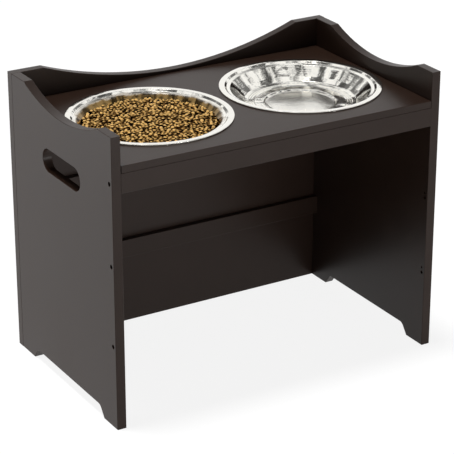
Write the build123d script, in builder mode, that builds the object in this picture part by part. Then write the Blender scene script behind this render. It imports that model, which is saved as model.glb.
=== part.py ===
from build123d import *
import os

# Raised feeder for two dog bowls, made of painted boards.
# Millimetres, +Z up, front towards -Y, origin on the floor under the middle of the footprint.

# Bowls: pressed steel dishes. Depths are measured down from the top of the rim.
bowl_radius = 135.0          # outside of the rolled rim
rim_width = 8.5              # flat band between the wall and the rim's outer edge
hem_width = 3.2              # the rolled edge, which rests on the shelf
hem_height = 2.2
hem_round = 0.8
sheet = 1.0                  # wall of the bowl
ledge_outer = (4.5, 3.4)     # a ledge under the rim: in from the rim's flat band, and depth
ledge_inner = (10.0, 4.6)    # the ledge ends and the wall begins
wall_foot = (33.5, 27.0)     # the wall meets the base
base_radius = 59.0           # sunk disc in the middle of the base
base_step = 1.6
bowl_depth = 31.0
rim_round = 2.2              # rim into ledge
ledge_round = 1.2
wall_round = 4.0             # ledge into wall
foot_round = 9.0             # wall into base
base_round = 1.2
bowl_gap = 14.0              # between the two rims
bowl_end_margin = 7.0        # from a rim to the side panel beside it
bowl_edge_margin = 36.0      # from a rim to the shelf's front and back edges
cutout_clearance = 2.5       # round the bowl's wall

# Kibble in the left bowl
kibble_depth = 9.5           # its edge, below the rim
kibble_wall_gap = 1.6        # from its edge to the bowl's wall
kibble_crown = 2.0           # the heap's middle stands this much higher than its edge
kibble_gap = 0.5             # between the heap and the steel
lump_rise = 2.5              # of each lump, above the heap
lump_half_width = 14.0
lump_rings = 3               # round the lump in the middle
lumps_per_ring = 6           # in the first ring, and this many more in each ring further out
lump_edge_margin = 3.0       # from the outer lumps to the heap's edge
lump_root = 0.6              # how deep a lump's foot lies in the heap

# Boards
side_board = 16.0
back_board = 16.0
shelf_board = 12.0
front_rail_board = 16.0
rear_rail_board = 12.0
rail_height = 32.0
edge_ease = 0.9              # rounding along the edges of every board

# Heights
shelf_height = 440.0         # top of the shelf
level_pitch = 135.0          # between the three heights at which the shelf can be fitted
levels = ("top", "middle", "bottom")
corner_rise = 48.0           # corners of the side and back panels, above the shelf
side_valley_rise = 22.0      # lowest point of a side panel's scooped top, above the shelf
back_valley_rise = 4.5
side_corner_flat = 45.0      # straight length at each corner of a side panel's top
back_corner_flat = 58.5

# Feet of the side panels
foot_length = 45.0
foot_rise = 18.5             # gap under the panel between its feet
foot_run = 14.0              # slope from a foot up to the gap
foot_blend = 12.0

# Handle slot in each side panel
handle_length = 130.0
handle_height = 39.0
handle_drop = 60.0           # its middle, below the shelf's top

# The loose shelf
shelf_end_gap = 1.0          # to each side panel
shelf_back_gap = 1.0         # to the back panel
peg_radius = 4.0
peg_seat = 12.0              # depth of a peg in the front rail
peg_stand = 6.0              # a peg's height above the rail
peg_round = 1.0
peg_clearance = 0.4          # round and above a peg, in the shelf
peg_inset = 84.0             # from the rail's end

# Screws: countersunk ones through the back panel, panhead ones for the front rail
screw_radius = 2.0
screw_head_radius = 4.0
screw_lip = 0.4
back_screw_length = 45.0
rail_screw_length = 25.0
front_screw_length = 48.0
front_head_radius = 3.5
front_head_height = 3.0
front_head_recess = 3.0      # the head's top, below the side panel's face
front_recess_radius = 3.75
screw_tip = 5.0
screw_fit = 0.05             # round a screw in its hole
cross_length = 3.6
cross_width = 0.9
cross_depth = 1.2
back_screw_margin = 44.0     # first and last screw, from the panel's foot and corner
back_screw_count = 4
rail_screw_count = 3
rail_screw_inset = 84.0      # from the rail's end

# Dowels
dowel_radius = 3.0
dowel_round = 0.8
dowel_end_gap = 1.0          # at each end, in its hole
back_dowel_length = 28.0
back_dowel_seat = 10.0       # the share of it in the back panel
front_dowel_length = 22.0
front_dowel_seat = 9.0       # the share of it in the side panel
front_dowel_drop = 9.0       # below the rail's middle

# Places that follow from the sizes above
bowl_offset = bowl_radius + bowl_gap / 2
inner_width = 2 * (bowl_offset + bowl_radius + bowl_end_margin)
width = inner_width + 2 * side_board
side_depth = 2 * (bowl_radius + bowl_edge_margin)
depth = side_depth + back_board
height = shelf_height + corner_rise
front_y = -depth / 2
middle_y = front_y + side_depth / 2
side_back_y = front_y + side_depth
back_y = side_back_y + back_board
rail_front_y = side_back_y - rear_rail_board
shelf_under = shelf_height - shelf_board
rail_tops = [shelf_under - n * level_pitch for n in range(len(levels))]
front_rail_y = front_y + front_rail_board / 2
handle_z = shelf_height - handle_drop
rim_z = shelf_height + hem_height
wall_radius = bowl_radius - rim_width
wall_lean = (wall_foot[0] - ledge_inner[0]) / (wall_foot[1] - ledge_inner[1])
kibble_inset = ledge_inner[0] + (kibble_depth - ledge_inner[1]) * wall_lean
kibble_radius = wall_radius - kibble_inset - kibble_wall_gap
lump_pitch = (kibble_radius - lump_half_width - lump_edge_margin) / lump_rings
cutout_radius = wall_radius + cutout_clearance
side_edge_x = inner_width / 2 + side_board / 2


def export(part, name):
    part.label = name
    export_step(part, f"parts/{name}.step")


def scoop_radius(half_chord, dip):
    return (half_chord**2 + dip**2) / (2 * dip)


def evenly(start, end, count):
    return [start + (end - start) * n / (count - 1) for n in range(count)]


def rear_face(x, y, z):
    """A plane that faces backwards, for what goes in from behind."""
    return Plane(origin=(x, y, z), x_dir=(1, 0, 0), z_dir=(0, 1, 0))


def end_face(side, x, y, z):
    """A plane that faces outwards on the left (side -1) or right (side 1)."""
    return Plane(origin=(side * x, y, z), x_dir=(0, 1, 0), z_dir=(side, 0, 0))


# Fasteners, modelled along -Z from the top of the head at the origin

def cross_recess():
    with BuildSketch() as cross:
        Rectangle(cross_length, cross_width)
        Rectangle(cross_width, cross_length)
    return cross.sketch


def countersunk_screw(length):
    cone = screw_head_radius - screw_radius
    with BuildPart() as screw:
        with BuildSketch(Plane.XZ):
            with BuildLine():
                Polyline(
                    (0, 0),
                    (screw_head_radius, 0),
                    (screw_head_radius, -screw_lip),
                    (screw_radius, -screw_lip - cone),
                    (screw_radius, screw_tip - length),
                    (0, -length),
                    close=True,
                )
            make_face()
        revolve(axis=Axis.Z)
        add(cross_recess())
        extrude(amount=-cross_depth, mode=Mode.SUBTRACT)
    return screw.part


def panhead_screw(length):
    with BuildPart() as screw:
        with BuildSketch(Plane.XZ):
            with BuildLine():
                Polyline(
                    (0, 0),
                    (front_head_radius, 0),
                    (front_head_radius, -front_head_height),
                    (screw_radius, -front_head_height),
                    (screw_radius, screw_tip - length),
                    (0, -length),
                    close=True,
                )
            make_face()
        revolve(axis=Axis.Z)
        add(cross_recess())
        extrude(amount=-cross_depth, mode=Mode.SUBTRACT)
        fillet(screw.faces().sort_by(Axis.Z)[-1].edges().filter_by(GeomType.CIRCLE), screw_lip)
    return screw.part


def round_pin(radius, start, end, rounding):
    """A pin along Z between two heights, with both ends rounded."""
    with BuildPart() as pin:
        with BuildSketch(Plane.XY.offset(start)):
            Circle(radius)
        extrude(amount=end - start)
        fillet(pin.edges().filter_by(GeomType.CIRCLE), rounding)
    return pin.part


def group(piece, planes):
    with BuildPart() as pieces:
        with Locations(*planes):
            add(piece)
    return pieces.part


# Where the fasteners go
back_screw_heights = evenly(back_screw_margin, height - back_screw_margin, back_screw_count)
back_dowel_heights = [
    (low + high) / 2 for low, high in zip(back_screw_heights, back_screw_heights[1:])
]
rail_screw_places = evenly(
    -inner_width / 2 + rail_screw_inset, inner_width / 2 - rail_screw_inset, rail_screw_count
)
peg_places = [side * (inner_width / 2 - peg_inset) for side in (-1, 1)]
rail_middles = [top - rail_height / 2 for top in rail_tops]


# Side panels, left and right

def side_panel(side):
    reach = side_depth / 2 - side_corner_flat
    dip = corner_rise - side_valley_rise
    radius = scoop_radius(reach, dip)
    gap = side_depth / 2 - foot_length
    with BuildPart() as panel:
        with BuildSketch(Plane.YZ.offset(side * inner_width / 2)):
            with Locations((middle_y, height / 2)):
                Rectangle(side_depth, height)
            with Locations((middle_y, height - dip + radius)):
                Circle(radius, mode=Mode.SUBTRACT)
            with Locations((middle_y, handle_z)):
                SlotOverall(handle_length, handle_height, mode=Mode.SUBTRACT)
            with BuildLine():
                FilletPolyline(
                    (middle_y - gap, 0),
                    (middle_y - gap + foot_run, foot_rise),
                    (middle_y + gap - foot_run, foot_rise),
                    (middle_y + gap, 0),
                    radius=foot_blend,
                )
                Line((middle_y + gap, 0), (middle_y - gap, 0))
            make_face(mode=Mode.SUBTRACT)
        extrude(amount=side * side_board)
        fillet(panel.faces().filter_by(Axis.X).edges(), edge_ease)

        # Front rail holes at every level: a recess for the head, then the shank's hole
        with Locations(*[end_face(side, width / 2, front_rail_y, z) for z in rail_middles]):
            CounterBoreHole(
                radius=screw_radius + screw_fit,
                counter_bore_radius=front_recess_radius,
                counter_bore_depth=front_head_recess + front_head_height,
                depth=side_board,
            )
        with Locations(
            *[
                end_face(-side, -inner_width / 2, front_rail_y, z - front_dowel_drop)
                for z in rail_middles
            ]
        ):
            Hole(dowel_radius + screw_fit, depth=front_dowel_seat + dowel_end_gap)

        # Rear edge, which the back panel covers
        with Locations(*[rear_face(side * side_edge_x, side_back_y, z) for z in back_screw_heights]):
            Hole(screw_radius + screw_fit, depth=back_screw_length - back_board + dowel_end_gap)
        with Locations(*[rear_face(side * side_edge_x, side_back_y, z) for z in back_dowel_heights]):
            Hole(
                dowel_radius + screw_fit,
                depth=back_dowel_length - back_dowel_seat + dowel_end_gap,
            )
    return panel.part


# Back panel

def back_panel():
    reach = width / 2 - back_corner_flat
    dip = corner_rise - back_valley_rise
    radius = scoop_radius(reach, dip)
    with BuildPart() as panel:
        with BuildSketch(Plane.XZ.offset(-side_back_y)):
            with Locations((0, height / 2)):
                Rectangle(width, height)
            with Locations((0, height - dip + radius)):
                Circle(radius, mode=Mode.SUBTRACT)
        extrude(amount=-back_board)
        fillet(panel.faces().filter_by(Axis.Y).edges(), edge_ease)

        edge_screws = [
            rear_face(side * side_edge_x, back_y, z) for side in (-1, 1) for z in back_screw_heights
        ]
        rail_screws = [rear_face(x, back_y, z) for x in rail_screw_places for z in rail_middles]
        with Locations(*edge_screws, *rail_screws):
            CounterSinkHole(
                radius=screw_radius + screw_fit,
                counter_sink_radius=screw_head_radius + screw_fit + screw_lip,
                depth=back_board,
                counter_sink_angle=90,
            )
        with Locations(
            *[
                Plane(
                    origin=(side * side_edge_x, side_back_y, z), x_dir=(1, 0, 0), z_dir=(0, -1, 0)
                )
                for side in (-1, 1)
                for z in back_dowel_heights
            ]
        ):
            Hole(dowel_radius + screw_fit, depth=back_dowel_seat + dowel_end_gap)
    return panel.part


# Bowl shelf: lies loose on the front rail and the top rear rail

def bowl_shelf():
    shelf_depth = side_depth - shelf_back_gap
    with BuildPart() as shelf:
        with BuildSketch(Plane.XY.offset(shelf_under)):
            with Locations((0, front_y + shelf_depth / 2)):
                Rectangle(inner_width - 2 * shelf_end_gap, shelf_depth)
            with Locations((-bowl_offset, middle_y), (bowl_offset, middle_y)):
                Circle(cutout_radius, mode=Mode.SUBTRACT)
        extrude(amount=shelf_board)
        fillet(shelf.faces().filter_by(Axis.Z).edges(), edge_ease)
        with Locations(
            *[
                Plane(origin=(x, front_rail_y, shelf_under), x_dir=(1, 0, 0), z_dir=(0, 0, -1))
                for x in peg_places
            ]
        ):
            Hole(peg_radius + peg_clearance, depth=peg_stand + peg_clearance)
    return shelf.part


# Rails

def front_rail():
    with BuildPart() as rail:
        with BuildSketch(Plane.YZ.offset(-inner_width / 2)):
            with Locations((front_rail_y, rail_middles[0])):
                Rectangle(front_rail_board, rail_height)
        extrude(amount=inner_width)
        fillet(rail.edges().filter_by(Axis.X), edge_ease)
        with Locations(*[end_face(s, inner_width / 2, front_rail_y, rail_middles[0]) for s in (-1, 1)]):
            Hole(
                screw_radius + screw_fit,
                depth=front_screw_length + front_head_recess - side_board + dowel_end_gap,
            )
        with Locations(
            *[
                end_face(s, inner_width / 2, front_rail_y, rail_middles[0] - front_dowel_drop)
                for s in (-1, 1)
            ]
        ):
            Hole(
                dowel_radius + screw_fit,
                depth=front_dowel_length - front_dowel_seat + dowel_end_gap,
            )
        with Locations(*[Plane(origin=(x, front_rail_y, shelf_under)) for x in peg_places]):
            Hole(peg_radius + screw_fit, depth=peg_seat + dowel_end_gap)
    return rail.part


def rear_rail(middle):
    with BuildPart() as rail:
        with BuildSketch(Plane.YZ.offset(-inner_width / 2)):
            with Locations((rail_front_y + rear_rail_board / 2, middle)):
                Rectangle(rear_rail_board, rail_height)
        extrude(amount=inner_width)
        fillet(rail.edges().filter_by(Axis.X), edge_ease)
        with Locations(*[rear_face(x, side_back_y, middle) for x in rail_screw_places]):
            Hole(screw_radius + screw_fit, depth=rail_screw_length - back_board + dowel_end_gap)
    return rail.part


# Bowls

def bowl_plane(x):
    """Upright plane through a bowl's axis: radius along X, height above the rim along Y."""
    return Plane(origin=(x, middle_y, rim_z), x_dir=(1, 0, 0), z_dir=(0, -1, 0))


base_line = [
    (0, -bowl_depth),
    (base_radius, -bowl_depth),
    (base_radius + base_step, base_step - bowl_depth),
]
wall_line = [(wall_radius - inset, -drop) for inset, drop in (wall_foot, ledge_inner, ledge_outer, (0, 0))]
corner_rounds = [base_round, base_round, foot_round, wall_round, ledge_round, rim_round]


def bowl(x):
    with BuildPart() as dish:
        with BuildSketch(bowl_plane(x)):
            with BuildLine():
                FilletPolyline(*base_line, *wall_line, (bowl_radius - hem_width / 2, 0), radius=corner_rounds)
                offset(amount=sheet, side=Side.RIGHT, closed=True)
            make_face()
            with Locations((bowl_radius - hem_width / 2, -hem_height / 2)):
                RectangleRounded(hem_width, hem_height, hem_round)
        revolve(axis=Axis((x, middle_y, 0), (0, 0, 1)))
    return dish.part


# The heap of kibble lies just clear of the steel, which its underside follows. Its top is a shallow
# dome that carries a round lump in the middle and rings of them round it.

def kibble_lump():
    """Cap of a ball on the plane z = 0, with its foot lump_root below it."""
    ball = scoop_radius(lump_half_width, lump_rise)
    with BuildPart() as lump:
        with Locations((0, 0, lump_rise - ball)):
            Sphere(ball)
        split(bisect_by=Plane.XY.offset(-lump_root))
    return lump.part


def kibble_heap(x):
    crown_z = kibble_crown - kibble_depth
    lump = kibble_lump()
    with BuildPart() as heap:
        with BuildSketch(bowl_plane(x)):
            with BuildLine():
                edge = (kibble_radius, -kibble_depth)
                under = Polyline(
                    (0, kibble_gap - bowl_depth + base_step),
                    (base_radius, kibble_gap - bowl_depth + base_step),
                    (wall_radius - wall_foot[0] - kibble_gap, 2 * kibble_gap - wall_foot[1]),
                    edge,
                )
                Line(under @ 0, (0, crown_z))
                TangentArc((0, crown_z), edge, tangent=(1, 0))
            make_face()
        revolve(axis=Axis((x, middle_y, 0), (0, 0, 1)))
        for ring in range(lump_rings + 1):
            reach = ring * lump_pitch
            sink = kibble_crown * (reach / kibble_radius) ** 2
            with Locations((x, middle_y, rim_z + crown_z - sink)):
                with PolarLocations(reach, max(1, ring * lumps_per_ring)):
                    add(lump)
    return heap.part


os.makedirs("parts", exist_ok=True)

for side, name in ((-1, "left"), (1, "right")):
    export(side_panel(side), f"side_panel_{name}")
    export(bowl(side * bowl_offset), f"bowl_{name}")
    edge_planes = [rear_face(side * side_edge_x, back_y, z) for z in back_screw_heights]
    export(group(countersunk_screw(back_screw_length), edge_planes), f"back_screws_{name}")
    dowel_planes = [rear_face(side * side_edge_x, side_back_y, z) for z in back_dowel_heights]
    back_dowel = round_pin(
        dowel_radius, back_dowel_seat - back_dowel_length, back_dowel_seat, dowel_round
    )
    export(group(back_dowel, dowel_planes), f"back_dowels_{name}")

export(back_panel(), "back_panel")
export(bowl_shelf(), "bowl_shelf")
export(front_rail(), "front_rail")
export(kibble_heap(-bowl_offset), "kibble")

for middle, level in zip(rail_middles, levels):
    export(rear_rail(middle), f"rear_rail_{level}")
    screw_planes = [rear_face(x, back_y, middle) for x in rail_screw_places]
    export(group(countersunk_screw(rail_screw_length), screw_planes), f"rear_rail_screws_{level}")

head_x = width / 2 - front_head_recess
front_screw_planes = [end_face(s, head_x, front_rail_y, rail_middles[0]) for s in (-1, 1)]
export(group(panhead_screw(front_screw_length), front_screw_planes), "front_rail_screws")

front_dowel = round_pin(
    dowel_radius, front_dowel_seat - front_dowel_length, front_dowel_seat, dowel_round
)
front_dowel_planes = [
    end_face(s, inner_width / 2, front_rail_y, rail_middles[0] - front_dowel_drop) for s in (-1, 1)
]
export(group(front_dowel, front_dowel_planes), "front_rail_dowels")

peg = round_pin(peg_radius, -peg_seat, peg_stand, peg_round)
peg_planes = [Plane(origin=(x, front_rail_y, shelf_under)) for x in peg_places]
export(group(peg, peg_planes), "shelf_pegs")
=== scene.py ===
import math

import bmesh
import bpy
from bpy.props import FloatProperty, FloatVectorProperty, IntProperty, PointerProperty
from bpy.types import Operator, Panel, PropertyGroup
from mathutils import Matrix, Vector
from mathutils.bvhtree import BVHTree


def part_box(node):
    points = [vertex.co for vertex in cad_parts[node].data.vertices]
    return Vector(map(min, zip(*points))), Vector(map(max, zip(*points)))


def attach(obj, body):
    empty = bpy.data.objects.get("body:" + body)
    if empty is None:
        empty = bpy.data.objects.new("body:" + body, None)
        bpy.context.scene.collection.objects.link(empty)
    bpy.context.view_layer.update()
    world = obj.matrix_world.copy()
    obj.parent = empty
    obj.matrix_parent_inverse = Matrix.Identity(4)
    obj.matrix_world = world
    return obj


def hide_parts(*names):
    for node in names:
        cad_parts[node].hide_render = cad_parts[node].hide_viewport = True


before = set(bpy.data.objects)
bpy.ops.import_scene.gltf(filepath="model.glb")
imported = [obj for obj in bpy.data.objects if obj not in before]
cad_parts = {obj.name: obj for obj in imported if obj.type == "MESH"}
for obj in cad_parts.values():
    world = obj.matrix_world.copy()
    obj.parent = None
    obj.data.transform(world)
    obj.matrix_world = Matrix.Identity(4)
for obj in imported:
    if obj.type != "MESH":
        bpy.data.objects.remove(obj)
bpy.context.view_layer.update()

bl_info = {
    "name": "Raised Dog Feeder",
    "version": (1, 0, 0),
    "blender": (4, 5, 0),
    "location": "View3D > Sidebar > Feeder",
    "description": "Finishes the boards, bowls, food and fasteners of a raised dog feeder",
    "category": "Object",
}

BOARDS = (
    "side_panel_left",
    "side_panel_right",
    "back_panel",
    "bowl_shelf",
    "front_rail",
    "rear_rail_top",
    "rear_rail_middle",
    "rear_rail_bottom",
)
SCREWS = (
    "front_rail_screws",
    "back_screws_left",
    "back_screws_right",
    "rear_rail_screws_top",
    "rear_rail_screws_middle",
    "rear_rail_screws_bottom",
)
DOWELS = ("front_rail_dowels", "back_dowels_left", "back_dowels_right", "shelf_pegs")
BOWLS = {"bowl_left": "left_dish", "bowl_right": "right_dish"}

# The bowl's inner face from its middle to its rim, in millimetres: radius, depth under the rim
# and round of the corner
BOWL_LINE = (
    (0.0, 29.8, 0.0),
    (46.0, 30.8, 200.0),
    (58.4, 31.0, 0.8),
    (60.2, 28.9, 0.8),
    (76.0, 28.9, 2.0),
    (77.8, 28.0, 0.7),
    (79.6, 28.6, 0.7),
    (81.6, 27.8, 0.7),
    (83.4, 28.4, 0.7),
    (85.4, 27.6, 0.7),
    (87.2, 28.2, 0.7),
    (93.4, 26.6, 6.0),
    (101.0, 20.0, 14.0),
    (112.5, 8.6, 5.0),
    (116.5, 4.6, 1.6),
    (122.0, 3.4, 1.2),
    (125.6, 0.2, 1.4),
    (129.5, 0.0, 2.0),
    (132.2, 0.0, 0.0),
)
SHEET = 1.0                  # wall of the bowl
HEM_CENTRE = (133.6, 0.8)    # of the rolled hem: radius, and depth under the rim
HEM_HALF = (1.4, 0.8)        # half of the hem's width and height
HEM_STEPS = 8                # round the hem's outer half
HEM_SQUARENESS = 0.7         # 1 is an ellipse, and less is squarer
BOWL_SPOKES = 160

# The rest is in metres
DISC_EDGE = 0.058            # radius of the satin disc in the bowl's base
DISC_FADE = 0.003
STREAK_CORE = 0.02           # nearer the middle than this, streaks don't narrow
SEAM = 0.000002              # points nearer than this become one
FOOD_LINE_DROP = 0.0035      # from the food's top down to the food line

PIECE_SIZE = 0.0056
PIECE_SPACING = 0.0054
PIECE_SEED = 7
PIECE_DENSITY = 60000.0      # tries for each square metre
PIECE_TILT = 0.5             # in radians, either way
PIECE_SWELL = (0.8, 1.2)     # least and most size of a piece, beside the piece size
PIECE_SHAPES = ((0.62, 1.0), (0.74, 1.12), (0.55, 0.92))  # height and length, beside the width
PIECE_LUMPS = 0.55           # how far a piece's noise pushes its skin
# Deeper layers get darker tints: painted shade between the pieces above them.
LAYERS = (                   # how deep a layer lies in pieces, and its least and most tint
    (0.0, 0.35, 1.0),
    (0.5, 0.0, 0.2),
    (0.95, 0.0, 0.05),
)
LAYER_SEED_STEP = 13.0
TOP_SINK = 0.4               # middles of the top layer under the heap's surface, in pieces
EDGE_MARGIN = 0.6            # outermost middles to the heap's edge, in pieces
BED_FOOT = 0.09              # radius of the flat underside of the bed
HEAP_RADIUS = 0.1            # of a heap in the tree's own defaults
WALL_GAP = 0.0003            # from the food to the bowl's inner face, at the least
RAY_START = 0.01             # above the heap

FLOOR_HALF = 14.0
FLOOR_LIGHT = 0.78           # what a lit floor sends back, for a colour of 1
MIDDLE = Vector((0, 0, 0.25))
ABOVE = Vector((-0.35, 0.25, 3.0))
LEFT = Vector((-1.9, 1.25, 0.3))
IN_FRONT = Vector((0.3, -2.6, 0.25))
BARE_SIDE = (0.51, 0.80, 0.33)   # direction of a patch of the room that is plain white in polish
CAMERA_TARGET = Vector((-0.014, -0.033, 0.230))


# ---------------------------------------------------------------- shader nodes


class Value:
    """A number socket that can be used in sums."""

    def __init__(self, shader, socket):
        self.shader = shader
        self.socket = socket

    def __add__(self, other):
        return self.shader.math("ADD", self, other)

    __radd__ = __add__

    def __mul__(self, other):
        return self.shader.math("MULTIPLY", self, other)

    __rmul__ = __mul__

    def __sub__(self, other):
        return self.shader.math("SUBTRACT", self, other)

    def __rsub__(self, other):
        return self.shader.math("SUBTRACT", other, self)


class Shader:
    """The nodes of one material or world, and the calls that build them."""

    def __init__(self, owner):
        owner.use_nodes = True
        self.owner = owner
        self.tree = owner.node_tree
        self.tree.nodes.clear()

    @classmethod
    def material(cls, name):
        return cls(bpy.data.materials.new(name))

    def node(self, kind, settings=None, values=None):
        """Adds a node, sets its settings, then its sockets, by name or number."""
        made = self.tree.nodes.new(kind)
        for name, setting in (settings or {}).items():
            if name == "stops":
                self.set_stops(made.color_ramp, setting)
            else:
                setattr(made, name, setting)
        for name, value in (values or {}).items():
            self.feed(made.inputs[name], value)
        return made

    def set_stops(self, ramp, stops):
        for number, (place, level) in enumerate(stops):
            stop = ramp.elements[number] if number < 2 else ramp.elements.new(place)
            stop.position = place
            stop.color = (level, level, level, 1)

    def feed(self, socket, value):
        if isinstance(value, Value):
            value = value.socket
        if isinstance(value, bpy.types.NodeSocket):
            self.tree.links.new(value, socket)
        elif isinstance(value, (tuple, list)) and len(value) == 3 and socket.type == "RGBA":
            socket.default_value = (*value, 1)
        else:
            socket.default_value = value

    def math(self, operation, a, b=0.0):
        made = self.node("ShaderNodeMath", {"operation": operation}, {0: a, 1: b})
        return Value(self, made.outputs[0])

    def place(self, offset=(0, 0, 0), scale=(1, 1, 1)):
        """Object coordinates in metres, moved and stretched."""
        where = self.node("ShaderNodeTexCoord").outputs["Object"]
        values = {"Vector": where, "Location": offset, "Scale": scale}
        return self.node("ShaderNodeMapping", None, values).outputs[0]

    def noise(self, where, scale, detail=2.0, roughness=0.5):
        values = {"Vector": where, "Scale": scale, "Detail": detail, "Roughness": roughness}
        return Value(self, self.node("ShaderNodeTexNoise", None, values).outputs["Fac"])

    def ramp(self, value, *stops):
        """A grey ramp through (place, level) stops."""
        made = self.node("ShaderNodeValToRGB", {"stops": stops}, {"Fac": value})
        return Value(self, made.outputs["Color"])

    def mix(self, factor, a, b):
        """A colour between a and b."""
        values = {0: factor, 6: a, 7: b}
        return self.node("ShaderNodeMix", {"data_type": "RGBA"}, values).outputs[2]

    def dot(self, a, b):
        made = self.node("ShaderNodeVectorMath", {"operation": "DOT_PRODUCT"}, {0: a, 1: b})
        return Value(self, made.outputs["Value"])

    def attribute(self, name):
        made = self.node("ShaderNodeAttribute", {"attribute_name": name})
        return Value(self, made.outputs["Fac"])

    def bump(self, height, distance):
        return self.node("ShaderNodeBump", None, {"Height": height, "Distance": distance}).outputs[0]

    def surface(self, **sockets):
        """The Principled shader that ends the material. Underscores stand for spaces."""
        values = {name.replace("_", " "): value for name, value in sockets.items()}
        shader = self.node("ShaderNodeBsdfPrincipled", None, values)
        self.node("ShaderNodeOutputMaterial", None, {"Surface": shader.outputs[0]})
        return self.owner

    def seen_directly(self):
        """Masks of rays from the camera and of rays off polish or through glass, 0 for other light."""
        ray = self.node("ShaderNodeLightPath").outputs
        kinds = ("Camera", "Glossy", "Transmission")
        camera, mirror, glass = (Value(self, ray[f"Is {kind} Ray"]) for kind in kinds)
        return camera, self.math("MAXIMUM", mirror, glass)


# ---------------------------------------------------------------- materials


def board_paint(name, boards):
    """Dark satin paint over smooth fibreboard."""
    paint = Shader.material(name)
    where = paint.place()
    cloud = paint.noise(where, scale=9, detail=4, roughness=0.6)
    stipple = paint.noise(where, scale=1500, detail=2)
    peel = paint.noise(where, scale=420, detail=1)
    drift = paint.ramp(cloud, (0.3, 0.0), (0.7, 1.0))
    return paint.surface(
        Base_Color=paint.mix(drift, tuple(boards.paint), tuple(boards.paint_worn)),
        Roughness=boards.roughness + 0.1 * (cloud - 0.5) + 0.05 * (stipple - 0.5),
        Normal=paint.bump(0.35 * stipple + peel, distance=0.00006),
        Specular_IOR_Level=0.185,
    )


def polished_steel(name, centre, bowls, food_line=None):
    """Polished steel, turned round the bowl's axis.

    With a food line, its faces that look up carry a painted brown reflection of the food, as far as a
    little above the line.
    """
    steel = Shader.material(name)
    where = steel.place(offset=(-centre.x, -centre.y, 0))
    split = steel.node("ShaderNodeSeparateXYZ", None, {0: where})
    x, y, z = (Value(steel, output) for output in split.outputs)
    radius = steel.math("SQRT", x * x + y * y)
    rings = steel.node("ShaderNodeCombineXYZ", None, {0: radius})
    reach = steel.math("MAXIMUM", radius, STREAK_CORE)
    spokes = {0: steel.math("DIVIDE", x, reach), 1: steel.math("DIVIDE", y, reach), 2: 14 * radius}
    around = steel.node("ShaderNodeCombineXYZ", None, spokes)
    streaks = steel.noise(around.outputs[0], scale=5, detail=3, roughness=0.6)
    turned = steel.noise(rings.outputs[0], scale=330, detail=3, roughness=0.7)
    smear = steel.noise(where, scale=38, detail=3, roughness=0.6)
    dents = steel.noise(where, scale=24, detail=2)
    satin = steel.ramp(radius, (DISC_EDGE - DISC_FADE, 1.0), (DISC_EDGE + DISC_FADE, 0.0))
    height = (1.0 - 0.7 * satin) * (dents + bowls.streaks * streaks) + bowls.turned * turned
    colour = steel.mix(smear, tuple(bowls.steel), tuple(bowls.steel_worn))
    if food_line is not None:
        # Painted reflection: the food's brown laid on the inner wall just above the food line, ragged by
        # the streaks and rings.
        centimetres_over = 100 * (z - food_line)
        ragged = centimetres_over + 0.7 * (streaks - 0.5) + 0.7 * (turned - 0.5)
        facing = steel.node("ShaderNodeNewGeometry").outputs["Normal"]
        upwards = steel.node("ShaderNodeSeparateXYZ", None, {0: facing}).outputs[2]
        inside = steel.ramp(upwards, (0.0, 0.0), (0.1, 1.0))
        food_reflection_mask = inside * steel.ramp(ragged, (0.2, 1.0), (0.5, 0.0))
        colour = steel.mix(food_reflection_mask, colour, tuple(bowls.food_reflection))
    return steel.surface(
        Base_Color=colour,
        Metallic=1.0,
        Roughness=bowls.roughness + bowls.base_satin * satin + 0.05 * turned + 0.05 * (smear - 0.4),
        Normal=steel.bump(height, bowls.dents),
    )


def painted_shade(food):
    """Painted shade: a colour far darker than the darkest crust, for the food's undersides and the gaps
    in it.
    """
    return tuple(0.08 * channel for channel in food.dark)


def kibble_crust(name, food):
    """Baked food, lighter on raised spots, each piece with its own tint; painted shade darkens each
    piece's underside and the deeper layers' pieces.
    """
    crust = Shader.material(name)
    where = crust.place()
    tone_and_shade = crust.attribute("tone_and_shade")
    rise = crust.attribute("rise")
    grain = crust.noise(where, scale=900, detail=4, roughness=0.65)
    pores = crust.noise(where, scale=2400, detail=2)
    # The tint is each piece's own tone, and on the deeper layers painted shade.
    toasted_and_shaded = crust.mix(tone_and_shade, tuple(food.dark), tuple(food.light))
    raised = crust.ramp(grain, (0.4, 0.0), (0.7, 0.7)) * tone_and_shade
    top = crust.mix(raised, toasted_and_shaded, tuple(food.light))
    # Painted shade: each piece's lower part, by its height within the piece, turns to the shade colour.
    upper = crust.ramp(0.5 + rise, (0.45, 0.0), (0.70, 1.0))
    return crust.surface(
        Base_Color=crust.mix(upper, painted_shade(food), top),
        Roughness=0.5 + 0.25 * grain,
        Normal=crust.bump(grain + 0.5 * pores, distance=0.0003),
        Specular_IOR_Level=0.1,
        Coat_Weight=upper * tone_and_shade * 0.8,
        Coat_Roughness=0.3,
    )


def kibble_shade(name, food):
    """Crumbs and shadow between the pieces."""
    shade = Shader.material(name)
    crumbs = shade.noise(shade.place(), scale=700, detail=3, roughness=0.7)
    paler = shade.ramp(crumbs, (0.5, 0.0), (0.75, 0.5))
    return shade.surface(
        Base_Color=shade.mix(paler, painted_shade(food), tuple(food.dark)),
        Roughness=0.8 + 0.1 * crumbs,
        Normal=shade.bump(crumbs, distance=0.001),
        Specular_IOR_Level=0.1,
    )


def black_oxide(name):
    """Blackened steel with a fine, uneven sheen."""
    black = Shader.material(name)
    grain = black.noise(black.place(), scale=1200, detail=3)
    return black.surface(
        Base_Color=black.mix(grain, (0.012, 0.012, 0.013), (0.035, 0.034, 0.033)),
        Metallic=0.7,
        Roughness=0.32 + 0.2 * grain,
        Normal=black.bump(grain, distance=0.00005),
    )


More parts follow.
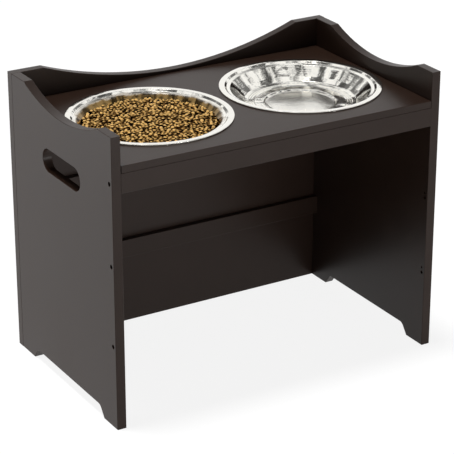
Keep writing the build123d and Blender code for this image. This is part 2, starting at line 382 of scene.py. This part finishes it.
def beech(name):
    """Plain beech, its flecks drawn out from front to back."""
    wood = Shader.material(name)
    growth = wood.noise(wood.place(), scale=260, detail=3, roughness=0.6)
    flecks = wood.noise(wood.place(scale=(1, 0.15, 1)), scale=1400, detail=2)
    plain = wood.mix(growth, (0.62, 0.42, 0.24), (0.5, 0.31, 0.16))
    flecked = wood.ramp(flecks, (0.55, 0.0), (0.7, 0.6))
    return wood.surface(
        Base_Color=wood.mix(flecked, plain, (0.33, 0.18, 0.09)),
        Roughness=0.6 + 0.15 * growth,
        Normal=wood.bump(flecks, distance=0.00008),
    )


def finish_nodes(names, material):
    """Gives CAD nodes their finished material."""
    for name in names:
        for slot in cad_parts[name].material_slots:
            slot.material = material


# ---------------------------------------------------------------- settings


class FeederBoards(PropertyGroup):
    """Finish of the boards."""

    paint: FloatVectorProperty(
        name="Paint",
        description="Colour of the espresso paint",
        subtype="COLOR",
        size=3,
        default=(0.0195, 0.0103, 0.0069),
    )
    paint_worn: FloatVectorProperty(
        name="Paint, Lighter",
        description="Colour that the paint drifts to across a board",
        subtype="COLOR",
        size=3,
        default=(0.0225, 0.0124, 0.0085),
    )
    roughness: FloatProperty(
        name="Roughness", description="Satin of the paint", default=0.35, min=0.0, max=1.0
    )


class FeederBowls(PropertyGroup):
    """Finish of the bowls."""

    steel: FloatVectorProperty(
        name="Steel",
        description="Colour of the polished steel",
        subtype="COLOR",
        size=3,
        default=(0.95, 0.935, 0.88),
    )
    steel_worn: FloatVectorProperty(
        name="Steel, Duller",
        description="Colour where the polish has dulled",
        subtype="COLOR",
        size=3,
        default=(0.88, 0.855, 0.79),
    )
    # A painted reflection of the food in the steel wall just above it.
    food_reflection: FloatVectorProperty(
        name="Steel, Food Reflection",
        description="Colour of the steel just above the food",
        subtype="COLOR",
        size=3,
        default=(0.25, 0.16, 0.06),
    )
    roughness: FloatProperty(
        name="Roughness", description="Polish of the steel", default=0.05, min=0.0, max=1.0
    )
    base_satin: FloatProperty(
        name="Satin Base",
        description="Roughness that the disc in the base has besides",
        default=0.08,
        max=1.0,
    )
    dents: FloatProperty(
        name="Waviness",
        description="Depth of the long waves that pressing leaves",
        default=0.0011,
        unit="LENGTH",
    )
    turned: FloatProperty(
        name="Turned Lines", description="Depth of the turned lines beside the waves", default=0.09
    )
    streaks: FloatProperty(
        name="Streaks", description="Depth of the streaks up the wall beside the waves", default=0.3
    )
    spokes: IntProperty(name="Spokes", description="Steps round a bowl", default=BOWL_SPOKES)


class FeederFood(PropertyGroup):
    """The kibble in the left bowl."""

    length: FloatProperty(
        name="Piece Size",
        description="Width of a middling piece",
        default=PIECE_SIZE,
        unit="LENGTH",
    )
    spacing: FloatProperty(
        name="Spacing",
        description="Least distance between pieces of one layer",
        default=PIECE_SPACING,
        unit="LENGTH",
    )
    seed: IntProperty(name="Seed", description="Layout of the pieces", default=PIECE_SEED)
    light: FloatVectorProperty(
        name="Light Crust",
        description="Colour of the palest pieces",
        subtype="COLOR",
        size=3,
        default=(1.0, 0.61, 0.19),
    )
    dark: FloatVectorProperty(
        name="Dark Crust",
        description="Colour of the darkest pieces",
        subtype="COLOR",
        size=3,
        default=(0.11, 0.045, 0.010),
    )


class FeederStage(PropertyGroup):
    """Camera, lamps and floor."""

    ambient: FloatProperty(
        name="Soft Light", description="Even light from all round", default=0.07, min=0.0
    )
    above: FloatProperty(
        name="Light Above", description="Strength of the light from above", default=2.85, min=0.0
    )
    left: FloatProperty(
        name="Light From Left",
        description="Power of the lamp on the left, in watts",
        default=18.5,
        min=0.0,
    )
    front: FloatProperty(
        name="Light From Front",
        description="Power of the low lamp in front, in watts",
        default=23.0,
        min=0.0,
    )
    floor_bounce: FloatProperty(
        name="Floor Bounce",
        description="Share of light that the floor throws back",
        default=0.8,
        max=1.0,
    )
    floor_shadow: FloatProperty(
        name="Floor Shadow", description="Depth of the feeder's shadow", default=0.16, max=1.0
    )
    azimuth: FloatProperty(
        name="Azimuth",
        description="Camera's bearing from the front, towards the left side",
        default=math.radians(30.75),
        subtype="ANGLE",
    )
    elevation: FloatProperty(
        name="Elevation",
        description="Camera's height above the horizon",
        default=math.radians(23.11),
        subtype="ANGLE",
    )
    distance: FloatProperty(
        name="Distance", description="Camera to the point it looks at", default=3.29, unit="LENGTH"
    )
    lens: FloatProperty(
        name="Lens", description="Focal length, in millimetres", default=158.6, unit="CAMERA"
    )


# ---------------------------------------------------------------- shapes


class Tree:
    """A Geometry Nodes tree with named inputs, and the calls that build it."""

    def __init__(self, name):
        self.group = bpy.data.node_groups.new(name, "GeometryNodeTree")
        self.group.interface.new_socket("Geometry", in_out="INPUT", socket_type="NodeSocketGeometry")
        self.group.interface.new_socket("Geometry", in_out="OUTPUT", socket_type="NodeSocketGeometry")
        self.inside = self.group.nodes.new("NodeGroupInput")
        self.outside = self.group.nodes.new("NodeGroupOutput")

    def input(self, name, kind, default):
        socket = self.group.interface.new_socket(name, in_out="INPUT", socket_type=kind)
        if default is not None:
            socket.default_value = default
        return self.inside.outputs[name]

    def node(self, kind, settings=None, values=None):
        made = self.group.nodes.new(kind)
        for name, setting in (settings or {}).items():
            setattr(made, name, setting)
        for name, value in (values or {}).items():
            if isinstance(value, bpy.types.NodeSocket):
                self.group.links.new(value, made.inputs[name])
            else:
                made.inputs[name].default_value = value
        return made

    def math(self, operation, a, b=0.0):
        return self.node("ShaderNodeMath", {"operation": operation}, {0: a, 1: b}).outputs[0]

    def random(self, kind, least, most, seed):
        """A number or a vector of its own for every point."""
        if kind == "FLOAT":
            values = {2: least, 3: most, "Seed": seed}
            return self.node("FunctionNodeRandomValue", {"data_type": kind}, values).outputs[1]
        values = {"Min": least, "Max": most, "Seed": seed}
        return self.node("FunctionNodeRandomValue", {"data_type": kind}, values).outputs[0]

    def mark(self, geometry, domain, name, value):
        """Stores a number under a name, for the material to read."""
        return self.node(
            "GeometryNodeStoreNamedAttribute",
            {"data_type": "FLOAT", "domain": domain},
            {"Geometry": geometry, "Name": name, "Value": value},
        )

    def finish(self, geometry, material):
        """Ends the tree."""
        real = self.node("GeometryNodeRealizeInstances", None, {"Geometry": geometry})
        values = {"Geometry": real.outputs[0], "Material": material}
        dressed = self.node("GeometryNodeSetMaterial", None, values)
        self.group.links.new(dressed.outputs[0], self.outside.inputs[0])

    def set_inputs(self, modifier, values):
        """Sets a modifier's inputs by the identifiers of their sockets."""
        for item in self.group.interface.items_tree:
            if item.item_type == "SOCKET" and item.in_out == "INPUT" and item.name in values:
                modifier[item.identifier] = values[item.name]


def turned_tree():
    """A closed outline, points in order in the XZ plane, swept round the Z axis."""
    tree = Tree("turned_shell")
    spokes = tree.input("Spokes", "NodeSocketInt", BOWL_SPOKES)
    finish = tree.input("Finish", "NodeSocketMaterial", None)
    outline = tree.inside.outputs["Geometry"]
    size = tree.node("GeometryNodeAttributeDomainSize", None, {"Geometry": outline})
    count = size.outputs["Point Count"]
    column = tree.math("ADD", count, 1.0)
    across = tree.math("ADD", spokes, 1.0)
    sheet = tree.node("GeometryNodeMeshGrid", None, {"Vertices X": across, "Vertices Y": column})
    index = tree.node("GeometryNodeInputIndex").outputs[0]
    spoke = tree.math("FLOOR", tree.math("DIVIDE", index, column))
    row = tree.math("MODULO", index, column)
    point = tree.math("MODULO", row, count)
    angle = tree.math("MULTIPLY", tree.math("DIVIDE", spoke, spokes), math.tau)
    place = tree.node("GeometryNodeInputPosition").outputs[0]
    sampled = tree.node(
        "GeometryNodeSampleIndex",
        {"data_type": "FLOAT_VECTOR", "domain": "POINT"},
        {"Geometry": outline, "Value": place, "Index": point},
    )
    turn = tree.node(
        "ShaderNodeVectorRotate",
        {"rotation_type": "Z_AXIS"},
        {"Vector": sampled.outputs[0], "Angle": angle},
    )
    values = {"Geometry": sheet.outputs["Mesh"], "Position": turn.outputs[0]}
    swept = tree.node("GeometryNodeSetPosition", None, values)
    values = {"Geometry": swept.outputs[0], "Distance": SEAM}
    closed = tree.node("GeometryNodeMergeByDistance", None, values)
    smooth = tree.node("GeometryNodeSetShadeSmooth", None, {"Geometry": closed.outputs[0]})
    tree.finish(smooth.outputs[0], finish)
    return tree


def rounded_line(corners, steps=7):
    """Points along straight runs whose corners (x, y, round) are arcs."""
    points = [Vector(corners[0][:2])]
    for before, (x, y, size), after in zip(corners, corners[1:], corners[2:]):
        corner = Vector((x, y))
        back = (Vector(before[:2]) - corner).normalized()
        ahead = (Vector(after[:2]) - corner).normalized()
        half = back.angle(ahead) / 2
        reach = size / math.tan(half)
        centre = corner + (back + ahead).normalized() * size / math.sin(half)
        start = corner + back * reach - centre
        sweep = start.angle_signed(corner + ahead * reach - centre)
        for step in range(steps + 1):
            angle = -sweep * step / steps
            cos, sin = math.cos(angle), math.sin(angle)
            turned = Vector((start.x * cos - start.y * sin, start.x * sin + start.y * cos))
            points.append(centre + turned)
    points.append(Vector(corners[-1][:2]))
    return points


def shell_outline():
    """The bowl's section in metres: underside, rolled hem, then the inner face back to the axis."""
    inner = rounded_line([(r, -depth, size) for r, depth, size in BOWL_LINE])
    under = []
    for before, here, after in zip(inner, inner[1:], inner[2:]):
        along = (after - before).normalized()
        under.append(here + Vector((along.y, -along.x)) * SHEET)
    under = [Vector((0, inner[0].y - SHEET)), *under]
    x, y = HEM_CENTRE
    half_x, half_y = HEM_HALF
    hem = []
    for step in range(HEM_STEPS + 1):
        angle = math.pi * (0.5 - step / HEM_STEPS)
        cos, sin = math.cos(angle), math.sin(angle)
        out = math.copysign(abs(cos) ** HEM_SQUARENESS, cos)
        up = math.copysign(abs(sin) ** HEM_SQUARENESS, sin)
        hem.append(Vector((x + half_x * out, -y + half_y * up)))
    hem.append(Vector((x - half_x, -y)))
    outline = [*inner, *hem, *(p for p in reversed(under) if p.x < x - half_x)]
    return [(p.x / 1000, p.y / 1000) for p in reversed(outline)]


def lumpy_piece(tree, number, height, length):
    """One piece of food, about 1 wide."""
    ball = tree.node("GeometryNodeMeshUVSphere", None, {"Radius": 0.5, "Segments": 7, "Rings": 4})
    lumps = tree.node(
        "ShaderNodeTexNoise",
        {"noise_dimensions": "4D"},
        {"Scale": 2.2, "W": 3.1 * number, "Detail": 1.0},
    )
    centred = tree.node(
        "ShaderNodeVectorMath",
        {"operation": "SUBTRACT"},
        {0: lumps.outputs["Color"], 1: (0.5, 0.5, 0.5)},
    )
    push = tree.node(
        "ShaderNodeVectorMath",
        {"operation": "SCALE"},
        {0: centred.outputs[0], "Scale": PIECE_LUMPS},
    )
    values = {"Geometry": ball.outputs["Mesh"], "Offset": push.outputs[0]}
    lumpy = tree.node("GeometryNodeSetPosition", None, values)
    place = tree.node("GeometryNodeInputPosition")
    rise = tree.node("ShaderNodeSeparateXYZ", None, {0: place.outputs[0]})
    # The height within the piece, which the crust reads to paint shade on the piece's lower part.
    marked = tree.mark(lumpy.outputs[0], "POINT", "rise", rise.outputs["Z"])
    values = {"Geometry": marked.outputs[0], "Scale": (length, 1.0, height)}
    squat = tree.node("GeometryNodeTransform", None, values)
    smooth = tree.node("GeometryNodeSetShadeSmooth", None, {"Geometry": squat.outputs[0]})
    return smooth.outputs[0]


def kibble_tree():
    """Instances of lumpy pieces over the heap's surface, in layers.

    The radius of a lower layer shrinks by as much as the layer lies deeper, because the bowl's
    wall slopes at half a right angle.
    """
    tree = Tree("kibble_layers")
    radius = tree.input("Radius", "NodeSocketFloat", HEAP_RADIUS)
    size = tree.input("Piece Size", "NodeSocketFloat", PIECE_SIZE)
    spacing = tree.input("Spacing", "NodeSocketFloat", PIECE_SPACING)
    seed = tree.input("Seed", "NodeSocketInt", PIECE_SEED)
    crust = tree.input("Crust", "NodeSocketMaterial", None)
    shapes = tree.node("GeometryNodeGeometryToInstance")
    for number, (height, length) in enumerate(PIECE_SHAPES):
        tree.group.links.new(lumpy_piece(tree, number, height, length), shapes.inputs[0])
    layers = tree.node("GeometryNodeJoinGeometry")
    for number, (sink, least_tint, most_tint) in enumerate(LAYERS):
        drop = tree.math("MULTIPLY", size, -sink)
        down = tree.node("ShaderNodeCombineXYZ", None, {"Z": drop})
        share = tree.math("ADD", 1.0, tree.math("DIVIDE", drop, radius))
        narrower = tree.node("ShaderNodeCombineXYZ", None, {"X": share, "Y": share, "Z": 1.0})
        level = tree.node(
            "GeometryNodeTransform",
            None,
            {
                "Geometry": tree.inside.outputs["Geometry"],
                "Translation": down.outputs[0],
                "Scale": narrower.outputs[0],
            },
        )
        layer_seed = tree.math("ADD", seed, LAYER_SEED_STEP * number)
        points = tree.node(
            "GeometryNodeDistributePointsOnFaces",
            {"distribute_method": "POISSON"},
            {
                "Mesh": level.outputs[0],
                "Distance Min": spacing,
                "Density Max": PIECE_DENSITY,
                "Seed": layer_seed,
            },
        )
        turned_least = (-PIECE_TILT, -PIECE_TILT, 0)
        turned_most = (PIECE_TILT, PIECE_TILT, math.tau)
        turn = tree.random("FLOAT_VECTOR", turned_least, turned_most, layer_seed)
        swell = tree.random("FLOAT", *PIECE_SWELL, layer_seed)
        pieces = tree.node(
            "GeometryNodeInstanceOnPoints",
            None,
            {
                "Points": points.outputs["Points"],
                "Instance": shapes.outputs[0],
                "Pick Instance": True,
                "Rotation": turn,
                "Scale": tree.math("MULTIPLY", size, swell),
            },
        )
        # Painted shade: deeper layers draw darker tints.
        tone_and_shade = tree.random("FLOAT", least_tint, most_tint, layer_seed)
        tinted = tree.mark(pieces.outputs[0], "INSTANCE", "tone_and_shade", tone_and_shade)
        tree.group.links.new(tinted.outputs[0], layers.inputs[0])
    tree.finish(layers.outputs[0], crust)
    return tree


def new_object(name, mesh):
    made = bpy.data.objects.new(name, mesh)
    bpy.context.scene.collection.objects.link(made)
    return made


def bake_modifiers(name, source):
    """A plain mesh object from a source object's evaluated modifiers. The source is removed."""
    graph = bpy.context.evaluated_depsgraph_get()
    mesh = bpy.data.meshes.new_from_object(source.evaluated_get(graph))
    mesh.name = name
    bpy.data.objects.remove(source)
    return new_object(name, mesh)


def heap_mesh(name, radius, height_at, floor=None, rings=28, spokes=96):
    """A round sheet about the origin, its height a function of radius and angle.

    A floor (radius, height) closes it underneath.
    """
    mesh = bpy.data.meshes.new(name)
    build = bmesh.new()

    def circle(r, height):
        return [
            build.verts.new((r * math.cos(a), r * math.sin(a), height(r, a)))
            for a in (math.tau * spoke / spokes for spoke in range(spokes))
        ]

    middle = build.verts.new((0, 0, height_at(0, 0)))
    loops = [circle(radius * ring / rings, height_at) for ring in range(1, rings + 1)]
    if floor is not None:
        foot_radius, foot_height = floor
        loops.append(circle(foot_radius, lambda r, a: foot_height))
        build.faces.new(list(reversed(loops[-1])))
    for spoke in range(spokes):
        after = (spoke + 1) % spokes
        build.faces.new((middle, loops[0][spoke], loops[0][after]))
        for inner, outer in zip(loops, loops[1:]):
            build.faces.new((inner[spoke], outer[spoke], outer[after], inner[after]))
    build.to_mesh(mesh)
    build.free()
    for face in mesh.polygons:
        face.use_smooth = True
    return mesh


def wall_radius(depth):
    """Radius of the bowl's inner face at a depth under its rim, both in millimetres.

    There is no wall over the rim or under the base, so the radius has no end there.
    """
    inwards = BOWL_LINE[::-1]
    for (outer, upper, _), (inner, lower, _) in zip(inwards, inwards[1:]):
        if upper < depth <= lower:
            return outer + (inner - outer) * (depth - upper) / (lower - upper)
    return math.inf


def press_inside(mesh, rim):
    """Move what pokes through the bowl's wall back inside. The mesh lies about the bowl's axis."""
    for vertex in mesh.vertices:
        x, y, z = vertex.co
        limit = wall_radius(1000 * (rim - z)) / 1000 - WALL_GAP
        radius = math.hypot(x, y)
        if radius > limit:
            vertex.co = (x * limit / radius, y * limit / radius, z)


# ---------------------------------------------------------------- operators


class FEEDER_OT_paint_boards(Operator):
    """Paint the side panels, back panel, shelf and rails"""

    bl_idname = "feeder.paint_boards"
    bl_label = "Paint Boards"

    def execute(self, context):
        finish_nodes(BOARDS, board_paint("espresso_paint", context.scene.feeder_boards))
        return {"FINISHED"}


class FEEDER_OT_press_bowls(Operator):
    """Make both bowls of thin polished steel"""

    bl_idname = "feeder.press_bowls"
    bl_label = "Press Bowls"

    def execute(self, context):
        settings = context.scene.feeder_bowls
        outline = shell_outline()
        count = len(outline)
        tree = turned_tree()
        for node, body in BOWLS.items():
            low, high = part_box(node)
            centre = (low + high) / 2
            food_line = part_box("kibble")[1].z - FOOD_LINE_DROP if node == "bowl_left" else None
            steel = polished_steel(f"steel_{node}", centre, settings, food_line)
            mesh = bpy.data.meshes.new("outline")
            edges = [(n, (n + 1) % count) for n in range(count)]
            mesh.from_pydata([(r, 0, z) for r, z in outline], edges, [])
            source = new_object("outline", mesh)
            modifier = source.modifiers.new("turned", "NODES")
            modifier.node_group = tree.group
            tree.set_inputs(modifier, {"Spokes": settings.spokes, "Finish": steel})
            shell = bake_modifiers(f"steel_{node}", source)
            shell.data.transform(Matrix.Translation((centre.x, centre.y, high.z)))
            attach(shell, body)
            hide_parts(node)
        return {"FINISHED"}


class FEEDER_OT_pour_kibble(Operator):
    """Fill the left bowl with loose pieces of food"""

    bl_idname = "feeder.pour_kibble"
    bl_label = "Pour Kibble"

    def execute(self, context):
        food = context.scene.feeder_food
        low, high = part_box("kibble")
        centre = (low + high) / 2
        radius = (high.x - low.x) / 2
        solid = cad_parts["kibble"].data
        places = [vertex.co for vertex in solid.vertices]
        heap = BVHTree.FromPolygons(places, [face.vertices for face in solid.polygons])

        def piece_height(r, a):
            x, y = centre.x + r * math.cos(a), centre.y + r * math.sin(a)
            hit = heap.ray_cast(Vector((x, y, high.z + RAY_START)), Vector((0, 0, -1)))[0]
            return hit.z - TOP_SINK * food.length

        def bed_height(r, a):
            return piece_height(r, a) - food.length

        crust = kibble_crust("kibble_crust", food)
        # The bed is a dark sheet under the pieces, coloured as painted shade for the gaps between them.
        sheet = heap_mesh("kibble_bed", radius - food.length, bed_height, (BED_FOOT, low.z))
        bed = new_object("kibble_bed", sheet)
        bed.data.materials.append(kibble_shade("kibble_shade", food))
        sheet = heap_mesh("kibble_source", radius - EDGE_MARGIN * food.length, piece_height)
        source = new_object("kibble_source", sheet)
        tree = kibble_tree()
        modifier = source.modifiers.new("layers", "NODES")
        modifier.node_group = tree.group
        settings = {
            "Radius": radius,
            "Piece Size": food.length,
            "Spacing": food.spacing,
            "Seed": food.seed,
            "Crust": crust,
        }
        tree.set_inputs(modifier, settings)
        pieces = bake_modifiers("kibble_pieces", source)
        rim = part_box("bowl_left")[1].z
        for piece in (bed, pieces):
            press_inside(piece.data, rim)
            piece.data.transform(Matrix.Translation((centre.x, centre.y, 0)))
            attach(piece, "left_dish")
            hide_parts("kibble")
        return {"FINISHED"}


class FEEDER_OT_finish_fasteners(Operator):
    """Blacken the screws and give the dowels and pegs their wood"""

    bl_idname = "feeder.finish_fasteners"
    bl_label = "Finish Fasteners"

    def execute(self, context):
        finish_nodes(SCREWS, black_oxide("black_oxide"))
        finish_nodes(DOWELS, beech("beech"))
        return {"FINISHED"}


class FEEDER_OT_set_stage(Operator):
    """Set the floor, lamps and camera"""

    bl_idname = "feeder.set_stage"
    bl_label = "Set Stage"

    def execute(self, context):
        stage = context.scene.feeder_stage
        pale_floor(stage)
        studio_world(context.scene, stage)
        studio_lamps(stage)
        add_camera(context.scene, stage)
        context.scene.view_settings.view_transform = "Standard"
        return {"FINISHED"}


class VIEW3D_PT_feeder(Panel):
    """Steps that finish the feeder"""

    bl_label = "Raised Dog Feeder"
    bl_space_type = "VIEW_3D"
    bl_region_type = "UI"
    bl_category = "Feeder"

    def draw(self, context):
        for step in OPERATORS:
            self.layout.operator(step.bl_idname)


# ---------------------------------------------------------------- stage


def pale_floor(stage):
    """A wide white floor that keeps the feeder's shadow."""
    mesh = bpy.data.meshes.new("floor")
    build = bmesh.new()
    bmesh.ops.create_grid(build, x_segments=1, y_segments=1, size=FLOOR_HALF)
    build.to_mesh(mesh)
    build.free()
    floor = new_object("floor", mesh)
    white = Shader.material("floor_white")
    camera, mirror = white.seen_directly()
    paper = white.node("ShaderNodeBsdfDiffuse", None, {"Color": (stage.floor_bounce,) * 3})
    dim = white.node("ShaderNodeBsdfDiffuse", None, {"Color": (stage.floor_shadow,) * 3})
    lift = white.node("ShaderNodeEmission", None, {"Strength": 1 - FLOOR_LIGHT * stage.floor_shadow})
    lit = white.node("ShaderNodeAddShader", None, {0: dim.outputs[0], 1: lift.outputs[0]})
    shown = white.math("MAXIMUM", camera, mirror)
    either = white.node("ShaderNodeMixShader", None, {0: shown, 1: paper.outputs[0], 2: lit.outputs[0]})
    white.node("ShaderNodeOutputMaterial", None, {"Surface": either.outputs[0]})
    mesh.materials.append(white.owner)


def studio_world(scene, stage):
    """White behind the feeder, a ceiling with dark gaps and a bright lamp in polish, and soft light."""
    scene.world = bpy.data.worlds.new("studio")
    sky = Shader(scene.world)
    camera, mirror = sky.seen_directly()
    where = sky.node("ShaderNodeTexCoord").outputs["Generated"]
    height = Value(sky, sky.node("ShaderNodeSeparateXYZ", None, {0: where}).outputs[2])
    panels = sky.noise(where, scale=5.5, detail=2.0, roughness=0.55)
    ceiling = sky.ramp(panels, (0.44, 0.08), (0.475, 0.45), (0.51, 1.0))
    overhead = sky.ramp(height, (0.42, 0.0), (0.55, 0.5), (0.66, 1.0))
    raised = sky.ramp(height, (0.1, 0.0), (0.25, 0.9))
    beside = sky.ramp(sky.dot(where, BARE_SIDE), (0.93, 1.0), (0.975, 0.0))
    shown = sky.math("MAXIMUM", overhead, beside * raised)
    reflected = sky.mix(shown, (1.0, 1.0, 1.0), ceiling)
    soft = sky.node("ShaderNodeBackground", None, {"Color": (1, 1, 1, 1), "Strength": stage.ambient})
    lamp_direction = tuple((ABOVE - MIDDLE).normalized())
    glow = sky.ramp(sky.dot(where, lamp_direction), (0.985, 0.0), (0.997, 1.0))
    room = sky.node("ShaderNodeBackground", None, {"Color": reflected, "Strength": 1.0 + 9.0 * glow})
    plain = sky.node("ShaderNodeBackground", None, {"Color": (1, 1, 1, 1), "Strength": 1.0})
    lit = sky.node("ShaderNodeMixShader", None, {0: mirror, 1: soft.outputs[0], 2: room.outputs[0]})
    either = sky.node("ShaderNodeMixShader", None, {0: camera, 1: lit.outputs[0], 2: plain.outputs[0]})
    sky.node("ShaderNodeOutputWorld", None, {"Surface": either.outputs[0]})


def aim(made, place, target):
    made.location = place
    made.rotation_euler = (target - place).to_track_quat("-Z", "Y").to_euler()


def new_lamp(name, kind, place, energy, **settings):
    """A lamp at a place that points at the feeder's middle."""
    lamp = bpy.data.lights.new(name, kind)
    lamp.energy = energy
    for setting, value in settings.items():
        setattr(lamp, setting, value)
    made = bpy.data.objects.new(name, lamp)
    bpy.context.scene.collection.objects.link(made)
    aim(made, place, MIDDLE)
    return made


def studio_lamps(stage):
    """Soft light from above, from the left and from in front. Polish mirrors the room's glow instead."""
    above = new_lamp("lamp_above", "SUN", ABOVE, stage.above, angle=math.radians(12))
    above.visible_glossy = False
    new_lamp("lamp_left", "AREA", LEFT, stage.left, shape="RECTANGLE", size=0.9, size_y=0.5)
    new_lamp("lamp_front", "AREA", IN_FRONT, stage.front, shape="RECTANGLE", size=1.6, size_y=0.4)


def add_camera(scene, stage):
    """A camera at a bearing and height about the point it looks at."""
    camera = bpy.data.cameras.new("camera")
    camera.lens = stage.lens
    camera.sensor_width = 36
    made = bpy.data.objects.new("camera", camera)
    scene.collection.objects.link(made)
    flat = math.cos(stage.elevation)
    towards = Vector(
        (math.sin(stage.azimuth) * flat, math.cos(stage.azimuth) * flat, -math.sin(stage.elevation))
    )
    aim(made, CAMERA_TARGET - towards * stage.distance, CAMERA_TARGET)
    scene.camera = made


# ---------------------------------------------------------------- add-on

SETTINGS = (
    ("feeder_boards", FeederBoards),
    ("feeder_bowls", FeederBowls),
    ("feeder_food", FeederFood),
    ("feeder_stage", FeederStage),
)
OPERATORS = (
    FEEDER_OT_paint_boards,
    FEEDER_OT_press_bowls,
    FEEDER_OT_pour_kibble,
    FEEDER_OT_finish_fasteners,
    FEEDER_OT_set_stage,
)


def register():
    for name, group in SETTINGS:
        bpy.utils.register_class(group)
        setattr(bpy.types.Scene, name, PointerProperty(type=group))
    for step in OPERATORS:
        bpy.utils.register_class(step)
    bpy.utils.register_class(VIEW3D_PT_feeder)


def unregister():
    bpy.utils.unregister_class(VIEW3D_PT_feeder)
    for step in reversed(OPERATORS):
        bpy.utils.unregister_class(step)
    for name, group in reversed(SETTINGS):
        delattr(bpy.types.Scene, name)
        bpy.utils.unregister_class(group)


def main():
    register()
    bpy.ops.feeder.paint_boards()
    bpy.ops.feeder.press_bowls()
    bpy.ops.feeder.pour_kibble()
    bpy.ops.feeder.finish_fasteners()
    bpy.ops.feeder.set_stage()


if __name__ == "__main__":
    main()
